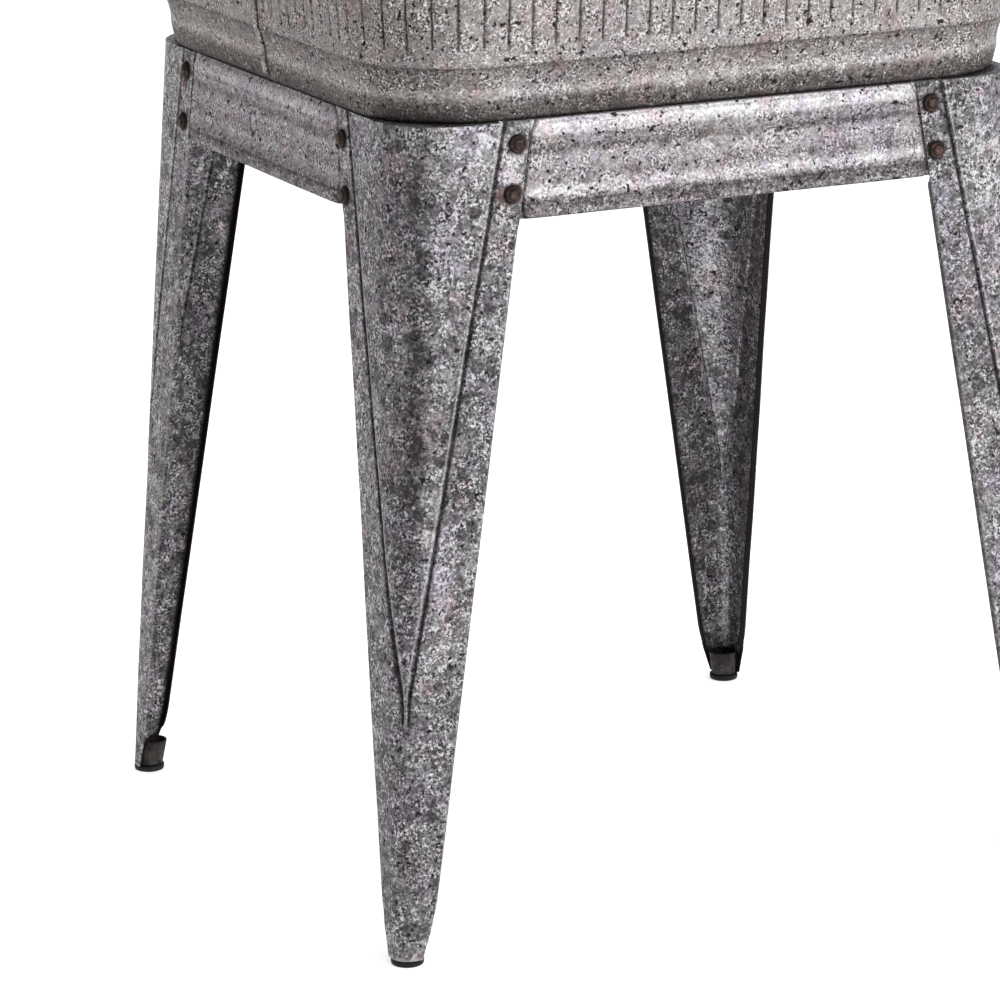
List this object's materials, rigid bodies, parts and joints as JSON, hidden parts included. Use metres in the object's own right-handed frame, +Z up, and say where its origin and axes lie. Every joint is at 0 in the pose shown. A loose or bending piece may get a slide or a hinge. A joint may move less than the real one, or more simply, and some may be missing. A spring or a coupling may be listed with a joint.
{
  "type": "raised planter on legs",
  "caption": "Galvanised wash tub with fluted walls, rolled rim and drop handles, standing on a stand of tapered pressed-steel legs and beaded rails.",
  "frame": {"origin": "on the floor under the middle of the stand", "axes": "+Z up, +X along the front rail to the right, +Y to the back"},
  "size_m": [0.5808, 0.5422, 0.8598],
  "materials": {
    "galvanised_leg": "weathered hot-dip galvanised sheet with a coarse crystalline spangle, dark pits and small rust spots",
    "galvanised_rail": "weathered galvanised sheet, lighter and pitted, with a brownish pink tint",
    "galvanised_tub": "dull warm grey galvanised sheet with fine spangle and faint brown staining",
    "rusted_rivet": "dark rust-brown domed rivet heads",
    "foot_steel": "dark oxidised pressed steel",
    "black_plastic": "black moulded plastic, slightly scuffed",
    "handle_steel": "galvanised rod and pressed lugs, worn at the contact points"
  },
  "bodies": {
    "stand": {"leg_front_left": "galvanised_leg", "leg_front_right": "galvanised_leg", "leg_back_left": "galvanised_leg", "leg_back_right": "galvanised_leg", "rail_front": "galvanised_rail", "rail_back": "galvanised_rail", "rail_left": "galvanised_rail", "rail_right": "galvanised_rail", "rivet_front_rail_left_upper": "rusted_rivet", "rivet_front_rail_left_lower": "rusted_rivet", "rivet_front_rail_right_upper": "rusted_rivet", "rivet_front_rail_right_lower": "rusted_rivet", "rivet_back_rail_left_upper": "rusted_rivet", "rivet_back_rail_left_lower": "rusted_rivet", "rivet_back_rail_right_upper": "rusted_rivet", "rivet_back_rail_right_lower": "rusted_rivet", "rivet_left_rail_front_upper": "rusted_rivet", "rivet_left_rail_front_lower": "rusted_rivet", "rivet_left_rail_back_upper": "rusted_rivet", "rivet_left_rail_back_lower": "rusted_rivet", "rivet_right_rail_front_upper": "rusted_rivet", "rivet_right_rail_front_lower": "rusted_rivet", "rivet_right_rail_back_upper": "rusted_rivet", "rivet_right_rail_back_lower": "rusted_rivet", "foot_plug_front_left": "foot_steel", "foot_plug_front_right": "foot_steel", "foot_plug_back_left": "foot_steel", "foot_plug_back_right": "foot_steel", "glide_front_left": "black_plastic", "glide_front_right": "black_plastic", "glide_back_left": "black_plastic", "glide_back_right": "black_plastic"},
    "tub": {"tub_pan": "galvanised_tub", "tub_wall_front": "galvanised_tub", "tub_wall_back": "galvanised_tub", "rim_wire": "handle_steel", "handle_ear_left_front": "handle_steel", "handle_ear_left_back": "handle_steel", "handle_ear_right_front": "handle_steel", "handle_ear_right_back": "handle_steel", "ear_rivet_left_front_lower": "rusted_rivet", "ear_rivet_left_front_upper": "rusted_rivet", "ear_rivet_left_back_lower": "rusted_rivet", "ear_rivet_left_back_upper": "rusted_rivet", "ear_rivet_right_front_lower": "rusted_rivet", "ear_rivet_right_front_upper": "rusted_rivet", "ear_rivet_right_back_lower": "rusted_rivet", "ear_rivet_right_back_upper": "rusted_rivet"},
    "handle_left": {"handle_left": "handle_steel"},
    "handle_right": {"handle_right": "handle_steel"}
  },
  "joints": [
    {"name": "tub_lift", "type": "slide", "parent": "stand", "child": "tub", "axis": [0, 0, 1], "range_m": [0, 0.3]},
    {"name": "handle_left_swing", "type": "hinge", "parent": "tub", "child": "handle_left", "pos_m": [-0.28338, 0, 0.78921], "axis": [0, 1, 0], "range_deg": [-8, 165]},
    {"name": "handle_right_swing", "type": "hinge", "parent": "tub", "child": "handle_right", "pos_m": [0.28338, 0, 0.78921], "axis": [0, -1, 0], "range_deg": [-8, 165]}
  ]
}
